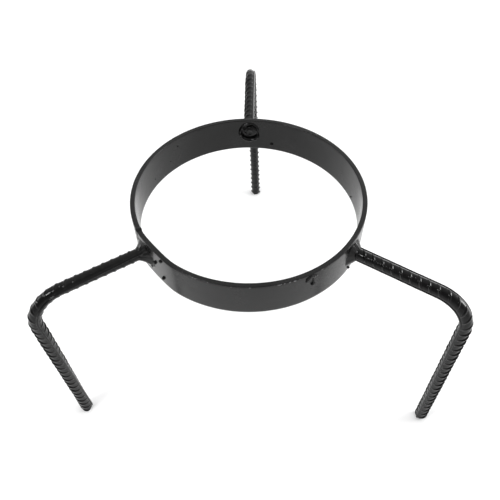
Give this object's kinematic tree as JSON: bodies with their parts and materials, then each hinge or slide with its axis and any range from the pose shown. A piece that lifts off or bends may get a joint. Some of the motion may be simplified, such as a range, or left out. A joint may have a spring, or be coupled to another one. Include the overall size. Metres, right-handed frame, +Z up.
{
  "type": "firewood log ring stand",
  "caption": "Welded steel ring stand: a flat-bar hoop on edge carried by bent legs of ribbed bar, to hold a firewood log upright or a round pot off the ground.",
  "frame": {"origin": "on the floor under the middle of the bounding box; the ring's own axis stands at x -1.7 mm, y -58.0 mm", "axes": "+Z up, +Y towards the back leg, +X to the right when the two front legs face the viewer"},
  "size_m": [0.4192, 0.3948, 0.2442],
  "materials": {
    "enamel_flat_bar": "satin-gloss black enamel on smooth rolled flat bar",
    "enamel_ribbed_bar": "satin-gloss black enamel on ribbed reinforcing bar",
    "enamel_weld": "glossy black enamel on rippled weld metal"
  },
  "bodies": {
    "root": {"ring_band": "enamel_flat_bar", "seam_weld": "enamel_weld", "leg_left": "enamel_ribbed_bar", "leg_right": "enamel_ribbed_bar", "leg_back": "enamel_ribbed_bar", "outer_weld_left": "enamel_weld", "outer_weld_right": "enamel_weld", "outer_weld_back": "enamel_weld", "inner_weld_left": "enamel_weld", "inner_weld_right": "enamel_weld", "inner_weld_back": "enamel_weld"}
  },
  "joints": []
}
